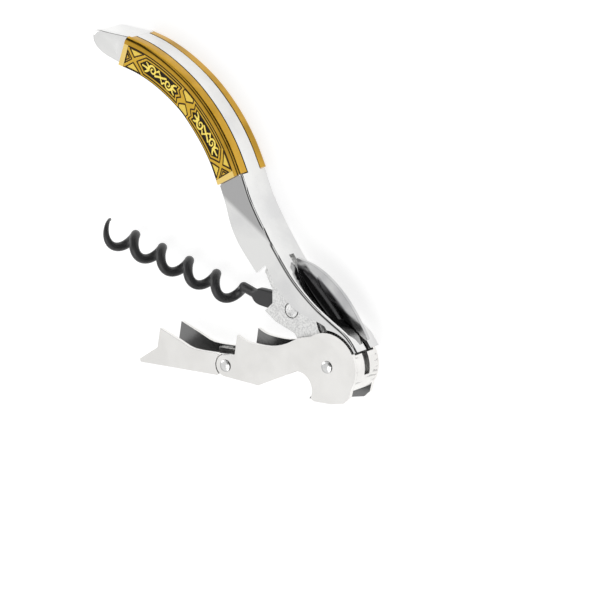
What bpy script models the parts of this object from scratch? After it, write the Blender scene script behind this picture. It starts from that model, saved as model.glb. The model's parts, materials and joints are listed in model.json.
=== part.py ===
"""Double-lever corkscrew, lying on its side with the worm and the levers swung out.

Side view: the lever pivot is at (0, 0), +X runs along the handle to its tip, -Y is the back of
the handle and +Y is the side on which the worm and the levers fold out. Z runs across the
thickness, and every hinge axis is parallel to it. Outlines are drawn in millimetres.
"""

import math

import bmesh
import bpy
from mathutils import Matrix, Vector

MM = 0.001

# ---- clearances ----
GAP = 0.3  # between pieces that lie against each other
SEAT = 0.15  # between a rivet head and what it holds
FOLD_CLEARANCE = 0.8  # between the folded lever and the edge of the shell

# ---- thicknesses, measured across (Z) from the middle plane ----
LEVER_HALF = 5.4
LEVER_SHEET = 1.2
SHELL_WALL = 1.25
FRAME_SHEET = 1.0
GRIP_STAND = 1.0  # how far the grips stand out from the shell's sides
GRIP_WALL = 0.75
BEZEL_SHEET = 0.5
SPINE_HALF = 2.65
BEZEL_FLANGE = 1.2
BEZEL_RIM = 0.75
BACK_WALL = 2.4
BLADE_THICK = 1.2
SLOT_HALF = 1.0
WORM_EYE_THICK = 2.6
TAB_SHEET = 1.2

# ---- side view: shell ----
DRAWN_BARE_LENGTH = 55.0  # the length for which the next two lists are drawn
TAIL_BACK = [
    (-2.7, -10.5), (2.2, -10.9), (8.0, -9.4), (14.5, -7.9), (22.8, -7.2), (31.0, -7.9), (39.0, -9.2),
    (46.8, -11.0),
]
NECK_FRONT = [(31.6, 1.0), (40.0, 0.4), (45.5, -1.0), (50.8, -3.6)]
BARE_LENGTH = 55.0  # pivot to grip
GRIP_LENGTH = 46.0
GRIP_LEAD = 1.4  # how far the grip's back starts ahead of the end of the bare stretch
GRIP_DEPTH = 8.2  # back to front, square to the curve
GRIP_BOW = 17.5  # how far the back of the grip bows out from the pivot-to-tip line
GRIP_CURVE = [  # share of the length, share of the bow, and how far the grip leans forward there
    (0.0, 0.777, 0.27), (0.17, 0.92, 0.05), (0.36, 1.0, -0.09), (0.57, 0.994, -0.37),
    (0.77, 0.889, -0.55), (0.94, 0.723, -0.65), (1.07, 0.526, -0.53),
]
TIP_LENGTH = 9.8
TIP_ROUND = [  # from the end of the tip's line and the end of the grip's back
    (-3.4, 4.1), (-0.7, 6.5), (0.0, 8.1), (-0.7, 9.6), (-3.0, 10.5), (-6.7, 9.8),
]
CORNER_STEP = (-0.1, -0.2)  # the step where the folded lever's tooth rests
TAIL_END = -104.0  # direction, from the pivot, in which the shell ends
CHANNEL_END = 5.0  # solid metal between the channel and the end of the grip
SLOT_END = 30.2
SCOOP_CENTRE = (15.0, -8.0)
SCOOP_RADII = (12.4, 1.9, 4.5)
EDGE_ROUND = 0.9

# ---- side view: levers, drawn with the pivot at (0, 0) and the knuckle on +X ----
LEVER_LENGTH = 33.0  # pivot to knuckle
BOSS_RADIUS = 9.1
BOSS_SPAN = (-62.0, -220.0)
TOOTH = (28.0, -8.3)
STEP = (29.6, -2.8)
LEVER_BACK = [(26.2, -7.1), (23.3, -6.1), (17.8, -5.3), (12.8, -6.0), (8.2, -7.6)]
HOOK_CENTRE = (10.2, 5.8)
HOOK_RADIUS = 4.6
FOOT = [(-6.0, 8.3), (-4.0, 9.7), (0.0, 9.9), (5.4, 9.2), (6.7, 8.3)]
LOWER_CORNER = (22.9, 5.2)
KNUCKLE_RADIUS = 3.0
KNUCKLE_SPAN = (80.0, -75.0)
WEB_ARC = (134.0, 199.0)
WEB_SLOT_START = 162.0
CROSS_WEB = (15.5, 24.5)  # the web under the first lever, along X
CROSS_WEB_RISE = 0.35
LAP = 0.02  # how far a web stands in from the edge of its arms

# ---- side view: second lever, drawn with the knuckle at (0, 0) ----
SECOND_LENGTH = 28.4  # knuckle to tip
SECOND_SPAN = (42.0, -62.0)  # its hollow end, round the knuckle
SECOND_BACK = [(2.6, -3.4), (9.9, -4.4), (14.4, -6.7)]
SECOND_TOOTH = (20.4, -10.0)
SECOND_NOTCH = (22.0, -4.8)
SECOND_TIP = [(0.0, -1.7), (-0.1, -0.7)]  # from the end of the length
SECOND_CORNER = (3.1, 2.6)
SECOND_WEB = [(4.6, 2.42), (-4.5, -0.16)]  # from the knuckle, and from the end of the length
TAB_SPAN = (75.0, 285.0)
TAB_END = [(7.6, -3.4), (7.6, 1.4)]
SHOULDER = [(3.9, -3.2), (7.6, -3.4), (7.6, 1.4), (3.9, 1.8)]

# ---- poses ----
LEVER_ANGLE = 54.0  # lever to handle line, as modelled
LEVER_FOLDED = 13.0
WORM_ANGLE = 31.6

# ---- inner frame, worm, blade and small pieces ----
FRAME_RADIUS = 7.4
FRAME_SPAN = (42.0, 333.0)
FRAME_THROAT = [(9.2, -3.6), (11.4, -4.6)]
FRAME_BACK_START = 14.0
FRAME_END = 33.5
FRAME_FRONT = [
    (30.7, -0.4), (25.7, 1.0), (23.1, 3.5), (23.1, 6.9), (18.9, 6.1), (13.1, 3.3), (9.0, 3.9),
]
FRAME_WEB_ARC = (150.0, 208.0)
WORM_PIVOT = (18.1, -0.2)
WORM_EYE_RADIUS = 3.0
WORM_OFFSET = 4.4  # helix axis to pivot
WORM_WIRE = 2.6
WORM_OUTER = 7.6
WORM_PITCH = 9.25
WORM_TURNS = 5.1
WORM_START = 18.9  # pivot to the start of the helix
WORM_SHANK_END = (12.6, 1.9)
WORM_SHANK_RADIUS = 2.3
WORM_TAPER = 8.0  # length over which the wire thins to its point
WORM_POINT = 0.12  # share of the wire's thickness left at the point
WORM_PHASE = 200.0  # where on its turn the helix starts
WORM_FLARE = 0.4  # share of the wire by which the point stands outside the helix
BLADE_BACK = [
    (-0.9, -12.3), (3.4, -13.3), (8.5, -14.1), (13.5, -14.2), (18.5, -13.6), (23.6, -11.9),
]
BLADE_TIP = (28.3, -8.9)
BLADE_EDGE = [(25.0, -6.6), (20.0, -5.2), (14.0, -4.6), (9.5, -3.9)]
BLADE_EYE_RADIUS = 2.9
BLADE_EYE_SPAN = (-20, 300)  # the part of the eye's circle that the neck leaves free
BLADE_REAR = [(7.9, -5.6), (2.4, -10.9), (-0.9, -11.7)]  # behind the neck, down to the blunt end
NICK_CENTRE = (16.5, -11.2)
NICK_SIZE = (4.2, 1.5)
NICK_DEPTH = 0.3
RIVET_SHANK = 1.0
RIVET_HEAD = 1.65
RIVET_DOME = 0.45
WORM_RIVET_SHANK = 1.2
WORM_RIVET_HEAD = 1.9
WORM_RIVET_RIM = 0.25
DIMPLE_DEPTH = 0.3
SPACER_WALL = 0.7
SPRING_THICK = 0.4
SPRING_WIDTH = 4.0
SPRING_SPAN = (3.5, 13.6)
SPRING_LEVEL = 0.6
SPRING_SAG = (0.5, 0.4)  # how far its two ends bend back
SPRING_ENDS = (2.5, 2.0)  # length of the bent ends
SPRING_PIN = (8.2, 2.1)
SPRING_PIN_RADIUS = 0.8
GRIP_PIN_RADIUS = 0.8
GRIP_PIN_STATIONS = (0.2, 0.8)
EYE_EDGE = 0.25
PLATE_LAP = 0.1  # how far an ornament plate stands in from the grip's front
FAR = 25.0  # how far a cutting tool reaches past what it cuts
NEAR = 0.000002  # metres within which two points of a drawing are one
SHARP = 35.0  # degrees between faces above which an edge is drawn sharp

# ---- derived ----
SHELL_HALF = LEVER_HALF
GRIP_HALF = SHELL_HALF + GRIP_STAND
LEVER_INNER = LEVER_HALF - LEVER_SHEET
FRAME_HALF = LEVER_INNER - GAP
FRAME_INNER = FRAME_HALF - FRAME_SHEET
CHANNEL_HALF = SHELL_HALF - SHELL_WALL
GRIP_WALL_HALF = CHANNEL_HALF + GRIP_WALL
BEZEL_INNER = GRIP_WALL_HALF + GAP
HOLE = RIVET_SHANK + GAP
HELIX_RADIUS = (WORM_OUTER - WORM_WIRE) / 2

SIDES = (("left", 1), ("right", -1))  # +Z side and -Z side

STEEL = (0.80, 0.80, 0.79)
BLASTED = (0.55, 0.55, 0.54)
GOLD = (0.85, 0.55, 0.12)
BRONZE = (0.80, 0.62, 0.18)
BLACK = (0.03, 0.03, 0.035)


# ---- scene and materials ----
def clear_scene():
    for obj in list(bpy.data.objects):
        bpy.data.objects.remove(obj, do_unlink=True)


def new_collection(name, hidden=False):
    made = bpy.data.collections.new(name)
    bpy.context.scene.collection.children.link(made)
    made.hide_render = hidden
    return made


def finish(obj, colour, roughness, metallic=1.0):
    """Gives a piece its own material and smooth round sides."""
    material = bpy.data.materials.new(obj.name)
    material.use_nodes = True
    shader = material.node_tree.nodes["Principled BSDF"]
    shader.inputs["Base Color"].default_value = (*colour, 1.0)
    shader.inputs["Roughness"].default_value = roughness
    shader.inputs["Metallic"].default_value = metallic
    obj.data.materials.clear()
    obj.data.materials.append(material)
    obj.data.shade_smooth()
    obj.data.set_sharp_from_angle(angle=math.radians(SHARP))


# ---- outlines ----
def smooth(knots, steps=4):
    """Catmull-Rom curve through the knots, with its end points."""
    ends = [knots[0]] + list(knots) + [knots[-1]]
    points = []
    for a, b, c, d in zip(ends, ends[1:], ends[2:], ends[3:]):
        for i in range(steps):
            t = i / steps
            points.append(tuple(
                q + ((r - p) * t + (2 * p - 5 * q + 4 * r - s) * t**2 + (3 * q - p - 3 * r + s) * t**3) / 2
                for p, q, r, s in zip(a, b, c, d)
            ))
    return points + [knots[-1]]


def arc(centre, radius, start, end, steps):
    """Points on a circle between two directions in degrees."""
    angles = [math.radians(start + (end - start) * i / steps) for i in range(steps + 1)]
    return [(centre[0] + radius * math.cos(a), centre[1] + radius * math.sin(a)) for a in angles]


def circle(centre, radius, steps=20):
    return arc(centre, radius, 0, 360, steps)[:-1]


def turn(point, degrees, centre=(0.0, 0.0)):
    a = math.radians(degrees)
    x, y = point
    return (centre[0] + x * math.cos(a) - y * math.sin(a), centre[1] + x * math.sin(a) + y * math.cos(a))


def mix(a, b, share):
    return tuple(p + (q - p) * share for p, q in zip(a, b))


def beside(line, distance):
    """The line moved sideways by a distance, to its left for a positive one."""
    moved = []
    for i, point in enumerate(line):
        before, after = line[max(i - 1, 0)], line[min(i + 1, len(line) - 1)]
        along = Vector((after[0] - before[0], after[1] - before[1])).normalized()
        moved.append((point[0] - along.y * distance, point[1] + along.x * distance))
    return moved


def longer(line, distance):
    """The line with both of its ends carried on by a distance."""
    (a, b), (c, d) = line[:2], line[-2:]
    start = mix(a, b, -distance / math.dist(a, b))
    stop = mix(d, c, -distance / math.dist(c, d))
    return [start] + line[1:-1] + [stop]


# ---- solids ----
def place(mesh, name, home):
    obj = bpy.data.objects.new(name, mesh)
    home.objects.link(obj)
    if home is cutters:
        obj.hide_render = True
        obj.display_type = "WIRE"
    return obj


def plate(name, loops, low, high, home=None):
    """A flat outline with its holes, filled and given a thickness from low to high."""
    curve = bpy.data.curves.new(name, "CURVE")
    curve.dimensions = "2D"
    curve.fill_mode = "BOTH"
    curve.extrude = (high - low) / 2 * MM
    for loop in loops:
        spline = curve.splines.new("POLY")
        spline.points.add(len(loop) - 1)
        for slot, (x, y) in zip(spline.points, loop):
            slot.co = (x * MM, y * MM, 0, 1)
        spline.use_cyclic_u = True
    drawn = place(curve, name, cutters)
    bpy.context.view_layer.update()
    mesh = bpy.data.meshes.new_from_object(drawn.evaluated_get(bpy.context.evaluated_depsgraph_get()))
    bpy.data.objects.remove(drawn)
    bm = bmesh.new()
    bm.from_mesh(mesh)
    bmesh.ops.remove_doubles(bm, verts=bm.verts, dist=NEAR)
    bmesh.ops.translate(bm, verts=bm.verts, vec=(0, 0, (low + high) / 2 * MM))
    bmesh.ops.recalc_face_normals(bm, faces=bm.faces)
    bm.to_mesh(mesh)
    bm.free()
    mesh.name = name
    return place(mesh, name, home or parts)


def turned(name, profile, centre, home=None, steps=24):
    """A profile of (radius, height) from the top down, turned about a line parallel to Z."""
    closed = profile[0] == profile[-1]
    points = [(r * MM, 0, z * MM) for r, z in (profile[:-1] if closed else profile)]
    edges = [(i, i + 1) for i in range(len(points) - 1)] + ([(len(points) - 1, 0)] if closed else [])
    mesh = bpy.data.meshes.new(name)
    mesh.from_pydata(points, edges, [])
    obj = place(mesh, name, home or parts)
    obj.location = (centre[0] * MM, centre[1] * MM, 0)
    screw = obj.modifiers.new("turn", "SCREW")
    screw.steps = screw.render_steps = steps
    screw.use_merge_vertices = True
    screw.merge_threshold = 0.000001
    return obj


def ring(name, centre, inner, outer, low, high, home=None):
    profile = [(inner, high), (outer, high), (outer, low), (inner, low), (inner, high)]
    return turned(name, profile, centre, home)


def peg(name, centre, radius, low, high, home=None):
    return turned(name, [(0, high), (radius, high), (radius, low), (0, low)], centre, home, 16)


def combine(obj, other, operation, solver="EXACT"):
    """A Boolean modifier, with the other piece kept as a hidden tool."""
    modifier = obj.modifiers.new(other.name, "BOOLEAN")
    modifier.operation = operation
    modifier.object = other
    modifier.solver = solver
    return obj


def cut(obj, *tools):
    for tool in tools:
        combine(obj, tool, "DIFFERENCE")
    return obj


def join(obj, *tools):
    for tool in tools:
        combine(obj, tool, "UNION")
    return obj


def soften(obj, width, angle=40):
    """A narrow bevel along the sharp edges."""
    bevel = obj.modifiers.new("edges", "BEVEL")
    bevel.width = width * MM
    bevel.segments = 1
    bevel.limit_method = "ANGLE"
    bevel.angle_limit = math.radians(angle)
    bevel.harden_normals = False
    return obj


def dome(radius, height, base, steps=4):
    """Profile of a low dome from its middle down to its rim."""
    return [
        (radius * math.sin(math.pi / 2 * i / steps), base + height * math.cos(math.pi / 2 * i / steps))
        for i in range(steps + 1)
    ]


# ---- shell outline ----
def grip_stations():
    """Back and front points of the grip, in pairs, from its near end to its tip end."""
    back, front = [], []
    for share, bow, lean in GRIP_CURVE:
        x = BARE_LENGTH - GRIP_LEAD + GRIP_LENGTH * share
        y = -GRIP_BOW * bow
        across = Vector((lean, 1.0)).normalized() * GRIP_DEPTH
        back.append((x, y))
        front.append((x + across.x, y + across.y))
    return back, front


def stretch(points):
    """Moves the bare stretch's points with its length."""
    return [(x * BARE_LENGTH / DRAWN_BARE_LENGTH, y) for x, y in points]


def back_line():
    back, _ = grip_stations()
    return smooth(stretch(TAIL_BACK) + back)


def lever_back_curve():
    """The concave upper edge of the first lever, from its tooth to the boss."""
    return smooth([TOOTH] + LEVER_BACK + [turn((BOSS_RADIUS, 0), BOSS_SPAN[0])], 3)


def nest_line():
    """The shell edge that the folded lever lies along, from the tooth to the end of the shell."""
    line = [turn(p, LEVER_FOLDED) for p in lever_back_curve()]
    line = [(x, y - FOLD_CLEARANCE) for x, y in line]
    reach = BOSS_RADIUS + FOLD_CLEARANCE
    line = [p for p in line if math.hypot(*p) > reach + GAP]
    first = math.degrees(math.atan2(line[-1][1], line[-1][0]))
    return line + arc((0, 0), reach, first - 3, TAIL_END, 9)


def shell_outline():
    _, front = grip_stations()
    back = back_line()
    tip_x = BARE_LENGTH + GRIP_LENGTH + TIP_LENGTH
    nose = [(tip_x + x, back[-1][1] + y) for x, y in TIP_ROUND]
    neck = stretch(NECK_FRONT)
    round_tip = smooth([back[-1]] + nose + front[::-1] + neck[::-1])
    nest = nest_line()
    return back + round_tip[1:] + [(neck[0][0] + CORNER_STEP[0], nest[0][1] + CORNER_STEP[1])] + nest


# ---- shell ----
def round_back_edges(obj, tail, width):
    """Rounds the two long edges of the back, between the tail and the tip."""
    line = [Vector(point) * MM for point in tail]
    bm = bmesh.new()
    bm.from_mesh(obj.data)
    bmesh.ops.dissolve_limit(bm, angle_limit=0.002, verts=bm.verts, edges=bm.edges)
    chosen = {v for v in bm.verts if any((v.co.xy - p).length < 0.00001 for p in line)}
    edges = [
        e for e in bm.edges
        if e.verts[0] in chosen and e.verts[1] in chosen
        and abs(e.verts[0].co.z - e.verts[1].co.z) < 0.00001 and abs(e.calc_face_angle(0)) > 0.5
    ]
    bmesh.ops.bevel(
        bm, geom=edges, offset=width * MM, segments=3, profile=0.5, affect="EDGES", clamp_overlap=True
    )
    bm.to_mesh(obj.data)
    bm.free()


def body_shell():
    shell = plate("body_shell", [shell_outline()], -SHELL_HALF, SHELL_HALF)
    round_back_edges(shell, back_line(), EDGE_ROUND)
    stop_x = BARE_LENGTH + GRIP_LENGTH - CHANNEL_END
    floor = [p for p in beside(back_line(), BACK_WALL) if p[0] < stop_x]
    hollow = [(-FAR, floor[0][1])] + floor + [(stop_x, FAR), (-FAR, FAR)]
    channel = plate("shell_channel", [hollow], -CHANNEL_HALF, CHANNEL_HALF, cutters)
    opening = [(-FAR, -FAR), (SLOT_END, -FAR), (SLOT_END, 0), (-FAR, 0)]
    slot = plate("shell_slot", [opening], -SLOT_HALF, SLOT_HALF, cutters)
    cut(shell, channel, slot, scoop(), *grip_recesses())
    combine(shell, plan_blank(), "INTERSECT")
    cut(shell, *grip_pin_holes("grip_pin_hole"))
    for modifier in shell.modifiers:
        modifier.solver = "MANIFOLD"  # the exact solver loses the shell at the grip's recesses
    return shell


def scoop():
    """The oval hollow on both sides of the blade."""
    bm = bmesh.new()
    bmesh.ops.create_uvsphere(bm, u_segments=24, v_segments=12, radius=1.0)
    centre = Matrix.Translation(Vector((*SCOOP_CENTRE, 0)) * MM)
    size = Matrix.Diagonal((*[radius * MM for radius in SCOOP_RADII], 1))
    bmesh.ops.transform(bm, matrix=centre @ size, verts=bm.verts)
    mesh = bpy.data.meshes.new("shell_scoop")
    bm.to_mesh(mesh)
    bm.free()
    return place(mesh, "shell_scoop", cutters)


def plan_blank():
    """The rounded end of the tip, seen from the back of the handle."""
    tip_x = BARE_LENGTH + GRIP_LENGTH + TIP_LENGTH
    half = SHELL_HALF + 0.05  # clear of the flat sides
    outline = [(-FAR, -half)] + arc((tip_x - SHELL_HALF, 0), half, -90, 90, 16) + [(-FAR, half)]
    blank = plate("shell_plan", [outline], -2 * FAR, 2 * FAR, cutters)
    blank.data.transform(Matrix.Rotation(math.radians(90), 4, "X"))
    return blank


def grip_band(inset_back, inset_front, inset_end):
    """Side outline of the grip, drawn in from its back, its front and its two ends."""
    back, front = grip_stations()
    back = ends_at(smooth(back, 5), back, inset_end)
    front = ends_at(smooth(front, 5), front, inset_end)
    return beside(back, inset_back) + beside(front, -inset_front)[::-1]


def ends_at(line, knots, distance):
    """Moves a line's two end points so that they stand this far inside the whole grip."""
    dense = smooth(knots, 40)
    start = next(p for p in dense if math.dist(p, dense[0]) >= distance)
    stop = next(p for p in reversed(dense) if math.dist(p, dense[-1]) >= distance)
    return [start] + [p for p in line[1:-1] if start[0] + 0.5 < p[0] < stop[0] - 0.5] + [stop]


def strip_along(back, front, near, far):
    """Outline between two distances in from the back line, its ends in line with the grip's own ends."""
    edges = []
    for distance in (near, far):
        line = beside(back, distance)
        for i in (0, -1):
            line[i] = mix(back[i], front[i], distance / math.dist(back[i], front[i]))
        edges.append(line)
    return edges[0] + edges[1][::-1]


def grip_recesses():
    """Room for the two bezels, on the sides of the shell and along its back edges."""
    back, front = grip_stations()
    back, front = longer(smooth(back, 5), GAP / 2), longer(smooth(front, 5), GAP / 2)
    side = strip_along(back, front, -BACK_WALL, 2 * GRIP_DEPTH)
    edge = strip_along(back, front, -BACK_WALL, BEZEL_FLANGE + GAP)
    tools = []
    for name, sign in SIDES:
        low, high = sorted((sign * GRIP_WALL_HALF, sign * 2 * GRIP_HALF))
        tools.append(plate(f"grip_side_{name}", [side], low, high, cutters))
        low, high = sorted((sign * SPINE_HALF, sign * 2 * GRIP_HALF))
        tools.append(plate(f"grip_edge_{name}", [edge], low, high, cutters))
    return tools


# ---- grip ----
def grip_pin_centres():
    back, front = grip_stations()
    back, front = smooth(back, 10), smooth(front, 10)
    centres = []
    for share in GRIP_PIN_STATIONS:
        i = round(share * (len(back) - 1))
        centres.append(mix(back[i], front[i], 0.5))
    return centres


def grip_pin_holes(name):
    radius = GRIP_PIN_RADIUS + GAP
    return [
        peg(f"{name}_{i}", centre, radius, -2 * GRIP_HALF, 2 * GRIP_HALF, cutters)
        for i, centre in enumerate(grip_pin_centres())
    ]


def bezel(name, sign):
    """One grip frame: a side sheet with a raised rim, and a flange along the back of the handle."""
    low, high = sorted((sign * BEZEL_INNER, sign * GRIP_HALF))
    frame = plate(name, [grip_band(0, 0, GAP / 2)], low, high)
    knots, _ = grip_stations()
    back = ends_at(smooth(knots, 5), knots, GAP / 2)
    strip = back + beside(back, BEZEL_FLANGE)[::-1]
    face = sign * (BEZEL_INNER + BEZEL_SHEET)
    low, high = sorted((sign * (SPINE_HALF + GAP), face))
    join(frame, plate(f"{name}_flange", [strip], low, high, cutters))
    low, high = sorted((face, sign * 2 * GRIP_HALF))
    pocket = grip_band(BEZEL_FLANGE + BEZEL_RIM, -BACK_WALL, BEZEL_RIM * 2)
    cut(frame, plate(f"{name}_pocket", [pocket], low, high, cutters))
    return cut(frame, *grip_pin_holes(f"{name}_hole"))


def ornament_plate(name, sign):
    low, high = sorted((sign * (BEZEL_INNER + BEZEL_SHEET + GAP), sign * GRIP_HALF))
    outline = grip_band(BEZEL_FLANGE + BEZEL_RIM + GAP, PLATE_LAP, BEZEL_RIM * 2 + GAP)
    return plate(name, [outline], low, high)


def grip_pins(name, sign):
    low, high = sorted((sign * CHANNEL_HALF, sign * (BEZEL_INNER + BEZEL_SHEET)))
    return [
        peg(f"{name}_{i + 1}", centre, GRIP_PIN_RADIUS, low, high)
        for i, centre in enumerate(grip_pin_centres())
    ]


# ---- inner frame ----
def frame_outline():
    back = [p for p in beside(back_line(), BACK_WALL + GAP) if FRAME_BACK_START < p[0] < FRAME_END]
    around = arc((0, 0), FRAME_RADIUS, *FRAME_SPAN, 24)
    return around + FRAME_THROAT + back[::2] + [(FRAME_END, back[-1][1])] + FRAME_FRONT


def inner_frame():
    """Two cheeks joined by a web that wraps round the pivot end."""
    holes = [
        circle((0, 0), HOLE),
        circle(WORM_PIVOT, WORM_RIVET_HEAD + GAP),
        circle(SPRING_PIN, SPRING_PIN_RADIUS + GAP, 12),
    ]
    frame = plate("inner_frame", [frame_outline()] + holes, FRAME_INNER, FRAME_HALF)
    other = plate("frame_cheek", [frame_outline()] + holes, -FRAME_HALF, -FRAME_INNER, cutters)
    start, end = FRAME_WEB_ARC
    strap = arc((0, 0), FRAME_RADIUS, start, end, 8) + arc((0, 0), FRAME_RADIUS - FRAME_SHEET, end, start, 8)
    middle = (FRAME_INNER + FRAME_HALF) / 2
    join(frame, plate("frame_web", [strap], -middle, middle, cutters), other)
    return frame


# ---- worm ----
def worm():
    """Flattened eye and shank, then a wire that winds into a right-handed helix and tapers to a point."""
    lead = math.degrees(math.atan2(WORM_SHANK_END[1], WORM_SHANK_END[0]))
    eye = arc((0, 0), WORM_EYE_RADIUS, lead + 78, lead + 282, 14)
    nose = arc(WORM_SHANK_END, WORM_SHANK_RADIUS, lead - 80, lead + 80, 8)
    half = WORM_EYE_THICK / 2
    hole = circle((0, 0), WORM_RIVET_SHANK + GAP, 16)
    body = soften(plate("worm", [eye + nose, hole], -half, half), EYE_EDGE)
    combine(body, worm_wire(), "UNION", "MANIFOLD")  # the exact solver leaves nothing here
    return swing(body)


def swing(obj):
    """Puts a piece drawn round the worm's pivot in its place and direction."""
    obj.location = (WORM_PIVOT[0] * MM, WORM_PIVOT[1] * MM, 0)
    obj.rotation_euler = (0, 0, math.radians(WORM_ANGLE))
    return obj


def worm_path():
    """(point, radius) along the wire: out of the shank, up to the helix and along it to the tip."""
    steps = 14  # on each turn
    total = round(WORM_TURNS * steps)
    helix = []
    for i in range(total + 1):
        phase = math.radians(WORM_PHASE) + 2 * math.pi * i / steps
        along = WORM_START + WORM_PITCH * i / steps
        shrink = min(1.0, (total - i) / (WORM_TAPER / WORM_PITCH * steps))
        reach = HELIX_RADIUS + WORM_WIRE * WORM_FLARE * (1 - shrink)
        point = (along, WORM_OFFSET + reach * math.cos(phase), reach * math.sin(phase))
        helix.append((point, max(WORM_POINT, shrink)))
    x, y = WORM_SHANK_END
    lead = smooth([(x - 1.0, y, 0.0), (x + 1.8, y + 0.1, -0.2), helix[0][0]], 3)[:-1]
    return [(point, 1.0) for point in lead] + helix


def worm_wire():
    curve = bpy.data.curves.new("worm_wire", "CURVE")
    curve.dimensions = "3D"
    curve.bevel_depth = WORM_WIRE / 2 * MM
    curve.bevel_resolution = 2
    curve.use_fill_caps = True
    path = worm_path()
    spline = curve.splines.new("POLY")
    spline.points.add(len(path) - 1)
    for slot, (point, radius) in zip(spline.points, path):
        slot.co = (*(c * MM for c in point), 1)
        slot.radius = radius
    drawn = place(curve, "worm_wire_path", cutters)
    bpy.context.view_layer.update()
    mesh = bpy.data.meshes.new_from_object(drawn.evaluated_get(bpy.context.evaluated_depsgraph_get()))
    bpy.data.objects.remove(drawn)
    bm = bmesh.new()
    bm.from_mesh(mesh)
    bmesh.ops.remove_doubles(bm, verts=bm.verts, dist=NEAR)
    bmesh.ops.recalc_face_normals(bm, faces=bm.faces)
    bm.to_mesh(mesh)
    bm.free()
    return swing(place(mesh, "worm_wire", cutters))


# ---- blade ----
def blade():
    """Crescent knife on the lever pivot, with a narrow neck, a bevelled edge and a nail nick."""
    back = smooth(BLADE_BACK + [BLADE_TIP])
    edge = smooth([BLADE_TIP] + BLADE_EDGE)
    eye = arc((0, 0), BLADE_EYE_RADIUS, *BLADE_EYE_SPAN, 20)
    outline = back + edge[1:] + eye + BLADE_REAR
    half = BLADE_THICK / 2
    piece = plate("blade", [outline, circle((0, 0), HOLE, 16)], -half, half)
    length, height = NICK_SIZE
    (x, y) = NICK_CENTRE
    nick = [(x + a, y + b * height / length) for a, b in arc((0, 0), length, 0, 180, 10)]
    for name, sign in SIDES:
        low, high = sorted((sign * (half - NICK_DEPTH), sign * BLADE_THICK))
        cut(piece, plate(f"nick_{name}", [nick], low, high, cutters))
    return piece


# ---- levers ----
def first_lever_outline():
    boss = arc((0, 0), BOSS_RADIUS, *BOSS_SPAN, 18)
    hook_end = math.degrees(math.atan2(FOOT[-1][1] - HOOK_CENTRE[1], FOOT[-1][0] - HOOK_CENTRE[0]))
    hook = arc(HOOK_CENTRE, HOOK_RADIUS, hook_end, 270, 10)
    knuckle = arc((LEVER_LENGTH, 0), KNUCKLE_RADIUS, *KNUCKLE_SPAN, 12)
    return lever_back_curve()[:-1] + boss + FOOT + hook + [LOWER_CORNER] + knuckle + [STEP]


def lever_stage_1(pivot):
    holes = [circle((0, 0), HOLE), circle((LEVER_LENGTH, 0), HOLE, 16)]
    lever = plate("lever_stage_1", [first_lever_outline()] + holes, LEVER_INNER, LEVER_HALF)
    other = plate("lever_arm", [first_lever_outline()] + holes, -LEVER_HALF, -LEVER_INNER, cutters)
    middle = (LEVER_INNER + LEVER_HALF) / 2
    start, end = WEB_ARC
    inner = BOSS_RADIUS - LEVER_SHEET
    strap = arc((0, 0), BOSS_RADIUS, start, end, 9) + arc((0, 0), inner, end, start, 9)
    web = plate("lever_web", [strap], -middle, middle, cutters)
    room = (
        arc((0, 0), BOSS_RADIUS + LEVER_SHEET, WEB_SLOT_START, end + 5, 6)
        + arc((0, 0), inner - LEVER_SHEET, end + 5, WEB_SLOT_START, 6)
    )
    slot = plate("lever_web_slot", [room], -SLOT_HALF - GAP / 2, SLOT_HALF + GAP / 2, cutters)
    cut(join(lever, cross_web(middle), web, other), slot)
    return hang_with_tools(lever, pivot)


def cross_web(middle):
    """The strip under the first lever, between the hook and the knuckle."""
    start = (HOOK_CENTRE[0], HOOK_CENTRE[1] - HOOK_RADIUS)
    run = Vector((LOWER_CORNER[0] - start[0], LOWER_CORNER[1] - start[1]))
    low = mix(start, LOWER_CORNER, (CROSS_WEB[0] - start[0]) / run.x)
    line = [low, LOWER_CORNER, (CROSS_WEB[1], LOWER_CORNER[1] - CROSS_WEB_RISE)]
    strip = beside(line, -LAP) + beside(line, -LEVER_SHEET)[::-1]
    return plate("lever_cross_web", [strip], -middle, middle, cutters)


def second_lever_outline():
    """Drawn from the knuckle: hollow round it, with a tooth and a pointed tip and a notch between."""
    start = arc((0, 0), KNUCKLE_RADIUS + GAP, *SECOND_SPAN, 8)
    upper = smooth(SECOND_BACK + [SECOND_TOOTH], 3)
    tip = [(SECOND_LENGTH + x, y) for x, y in SECOND_TIP]
    return start + upper + [SECOND_NOTCH] + tip + [SECOND_CORNER]


def lever_stage_2(knuckle):
    lever = plate("lever_stage_2", [second_lever_outline()], LEVER_INNER, LEVER_HALF)
    other = plate("second_arm", [second_lever_outline()], -LEVER_HALF, -LEVER_INNER, cutters)
    middle = (LEVER_INNER + LEVER_HALF) / 2
    near, (back, level) = SECOND_WEB
    line = [near, (SECOND_LENGTH + back, level)]
    strip = beside(line, -LAP) + beside(line, -LEVER_SHEET)[::-1]
    join(lever, plate("second_web", [strip], -middle, middle, cutters), other)
    outer = LEVER_INNER - GAP
    tab = arc((0, 0), KNUCKLE_RADIUS - GAP, *TAB_SPAN, 12) + TAB_END
    hole = circle((0, 0), HOLE, 16)
    for name, sign in SIDES:
        low, high = sorted((sign * (outer - TAB_SHEET), sign * outer))
        join(lever, plate(f"tab_{name}", [tab, hole], low, high, cutters))
        low, high = sorted((sign * (outer - SEAT), sign * (LEVER_INNER + SEAT)))
        join(lever, plate(f"shoulder_{name}", [SHOULDER], low, high, cutters))
    return hang_with_tools(lever, knuckle)


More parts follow.
